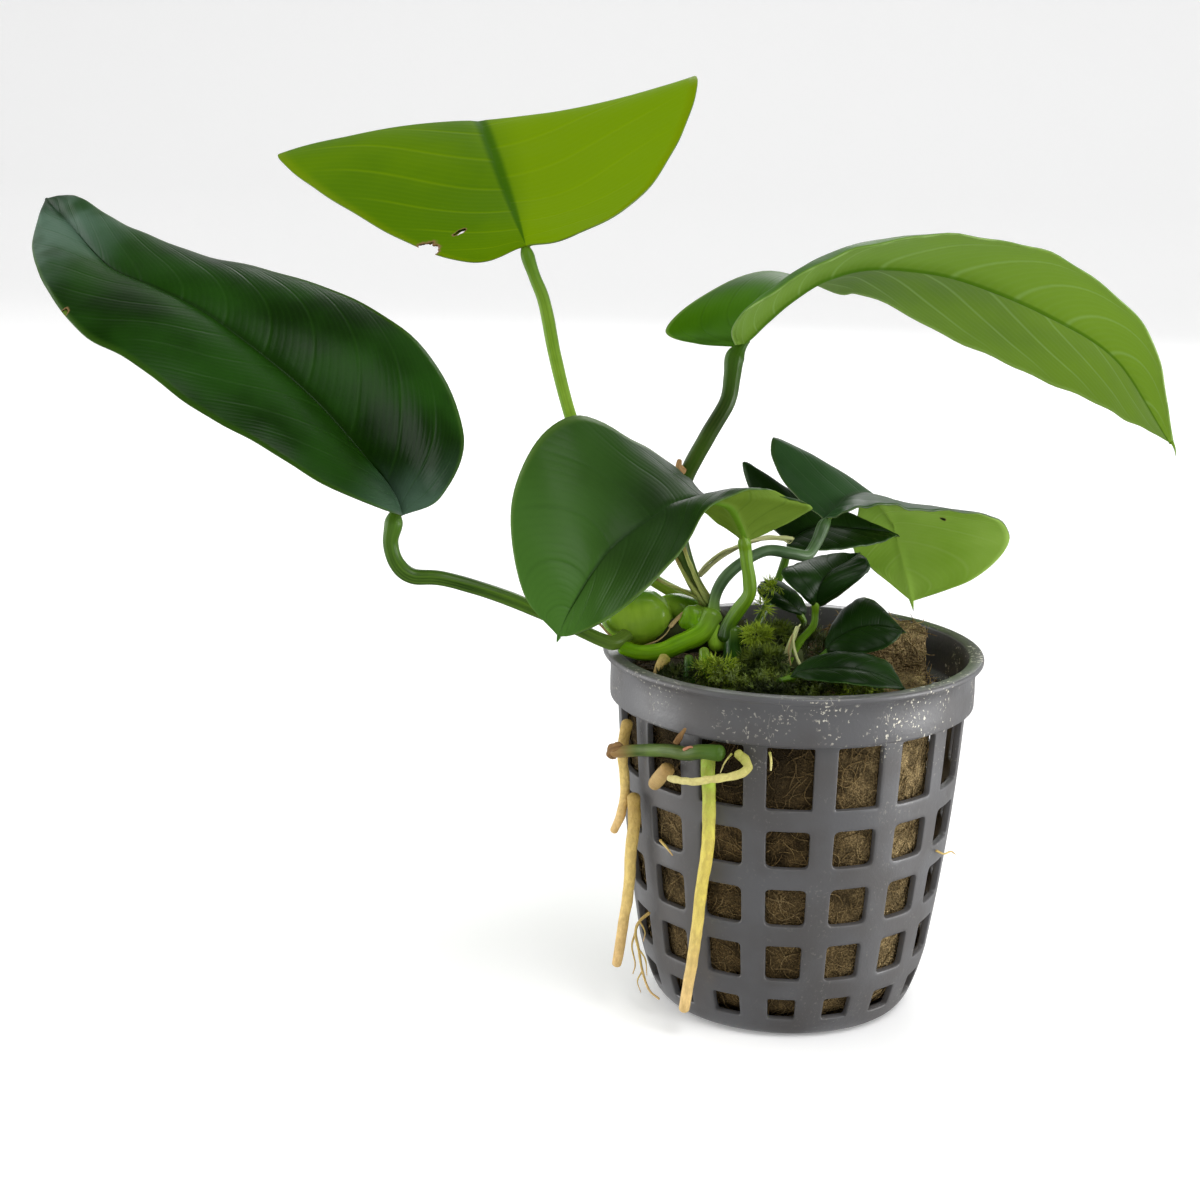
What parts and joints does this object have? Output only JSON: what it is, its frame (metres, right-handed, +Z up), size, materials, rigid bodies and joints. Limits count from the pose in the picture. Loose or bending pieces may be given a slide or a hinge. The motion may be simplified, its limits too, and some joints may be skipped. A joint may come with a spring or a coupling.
{
  "type": "potted anubias plant",
  "caption": "Small anubias water plant with broad leaves, creeping rhizome and hanging roots, growing from a rockwool plug in a round grey net pot.",
  "frame": {"origin": "centre of the pot's round foot, on the surface it stands on", "axes": "+Z up along the pot's axis, +X towards the arched leaf on the right, -Y towards the front, where the roots hang outside the pot"},
  "size_m": [0.148, 0.1244, 0.1208],
  "materials": {
    "pot_plastic": "satin",
    "rockwool": "matte",
    "leaf_dark": "satin",
    "leaf_fresh": "satin",
    "petiole": "satin",
    "dry_sheath": "matte",
    "rhizome": "satin",
    "root": "matte"
  },
  "bodies": {
    "root": {"net_pot": "pot_plastic", "rockwool_plug": "rockwool", "leaf_left": "leaf_dark", "leaf_top": "leaf_fresh", "leaf_right": "leaf_fresh", "leaf_centre": "leaf_dark", "leaf_back": "leaf_dark", "leaf_dark": "leaf_dark", "leaf_small_upper": "leaf_dark", "leaf_small_inner": "leaf_dark", "leaf_small_middle": "leaf_dark", "leaf_small_front": "leaf_dark", "petiole_left": "petiole", "petiole_top": "petiole", "petiole_right": "petiole", "petiole_centre": "petiole", "petiole_back": "petiole", "petiole_dark": "petiole", "petiole_small_upper": "petiole", "petiole_small_inner": "petiole", "petiole_small_middle": "petiole", "petiole_small_front": "petiole", "sheath_torn": "dry_sheath", "sheath_pale": "dry_sheath", "rhizome": "rhizome", "growth_bulb": "rhizome", "growth_lobe": "rhizome", "leaf_base_front": "rhizome", "leaf_base_left": "rhizome", "leaf_base_centre": "rhizome", "side_stem": "rhizome", "root_bud": "root", "root_long": "root", "root_left": "root", "root_side": "root", "root_hook": "root", "root_stub": "root"}
  },
  "joints": []
}
